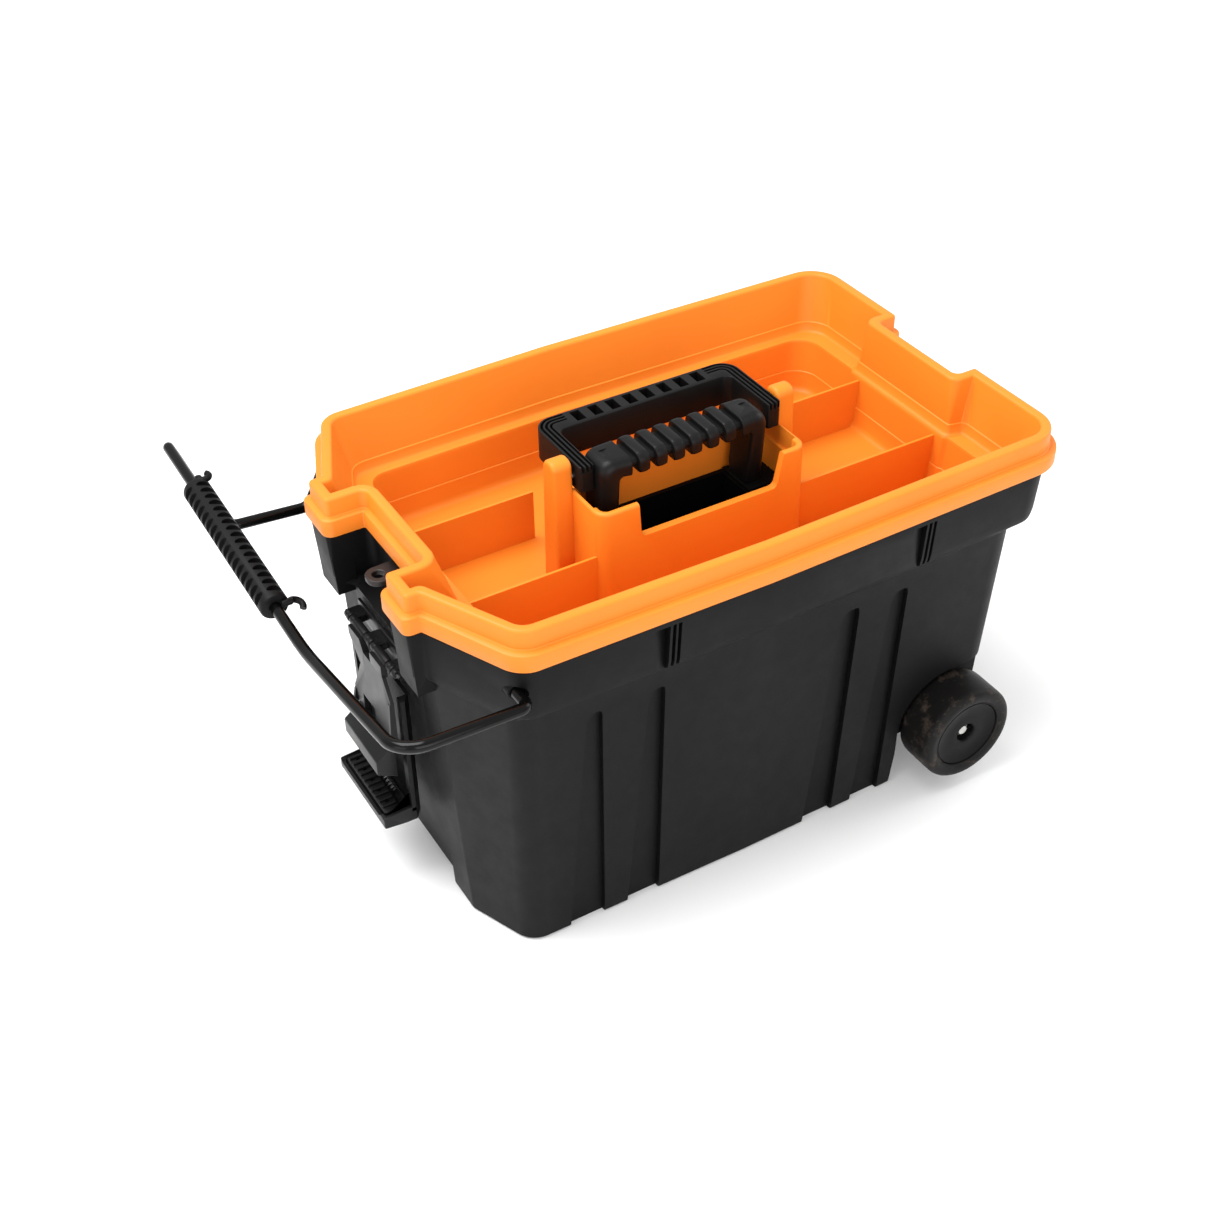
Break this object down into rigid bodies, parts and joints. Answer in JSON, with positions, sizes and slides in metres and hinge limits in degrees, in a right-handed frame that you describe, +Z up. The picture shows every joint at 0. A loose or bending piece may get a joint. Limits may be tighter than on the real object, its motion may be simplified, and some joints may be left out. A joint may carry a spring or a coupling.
{
  "type": "rolling tool box",
  "caption": "Open rolling tool box: black bin on two wheels, orange lift-out tray with dividers and folding carry handle, wire pull bail and swinging latch at one end.",
  "frame": {"origin": "on the bin's flat underside, below the middle of the rim's length and width", "axes": "+X along the box towards the wheels, +Z up, so the bail and latch are at -X and the front long side is at -Y"},
  "size_m": [0.6761, 0.5356, 0.3795],
  "materials": {
    "bin_plastic": "fine moulded grain",
    "tray_plastic": "satin",
    "handle_plastic": "satin",
    "latch_plastic": "satin",
    "tyre_rubber": "worn",
    "grip_rubber": "matte",
    "bail_steel": "gloss black",
    "zinc_steel": "zinc plated",
    "eye_steel": "brown-black"
  },
  "bodies": {
    "bin": {"bin_shell": "bin_plastic", "bail_bush_front": "handle_plastic", "bail_bush_rear": "handle_plastic", "axle": "zinc_steel", "axle_cap_front": "zinc_steel", "axle_cap_rear": "zinc_steel", "axle_spacer_front": "handle_plastic", "axle_spacer_rear": "handle_plastic", "latch_bracket": "latch_plastic", "hinge_pin": "zinc_steel", "latch_frame": "latch_plastic", "catch_block": "handle_plastic", "catch_spring": "zinc_steel", "padlock_eye": "eye_steel"},
    "tray": {"tray": "tray_plastic", "handle_insert": "handle_plastic", "arch_handle": "handle_plastic", "handle_pin_left": "zinc_steel", "handle_pin_right": "zinc_steel"},
    "fold_handle": {"fold_handle": "handle_plastic"},
    "bail": {"bail_rod": "bail_steel", "bail_grip": "grip_rubber"},
    "latch_plate": {"latch_plate": "latch_plastic"},
    "wheel_front": {"tyre_front": "tyre_rubber", "hub_front": "handle_plastic"},
    "wheel_rear": {"tyre_rear": "tyre_rubber", "hub_rear": "handle_plastic"}
  },
  "joints": [
    {"name": "tray_lift", "type": "slide", "parent": "bin", "child": "tray", "axis": [0, 0, 1], "range_m": [0, 0.185]},
    {"name": "fold_handle_hinge", "type": "hinge", "parent": "tray", "child": "fold_handle", "pos_m": [0, -0.012, 0.36], "axis": [1, 0, 0], "range_deg": [0, 90]},
    {"name": "bail_hinge", "type": "hinge", "parent": "bin", "child": "bail", "pos_m": [-0.248, 0, 0.303], "axis": [0, 1, 0], "range_deg": [-38, 100]},
    {"name": "latch_hinge", "type": "hinge", "parent": "bin", "child": "latch_plate", "pos_m": [-0.2955, 0, 0.25], "axis": [0, 1, 0], "range_deg": [0, 80]},
    {"name": "wheel_front_spin", "type": "hinge", "parent": "bin", "child": "wheel_front", "pos_m": [0.211, -0.187, 0.064], "axis": [0, 1, 0], "continuous": true},
    {"name": "wheel_rear_spin", "type": "hinge", "parent": "bin", "child": "wheel_rear", "pos_m": [0.211, 0.187, 0.064], "axis": [0, 1, 0], "continuous": true}
  ]
}
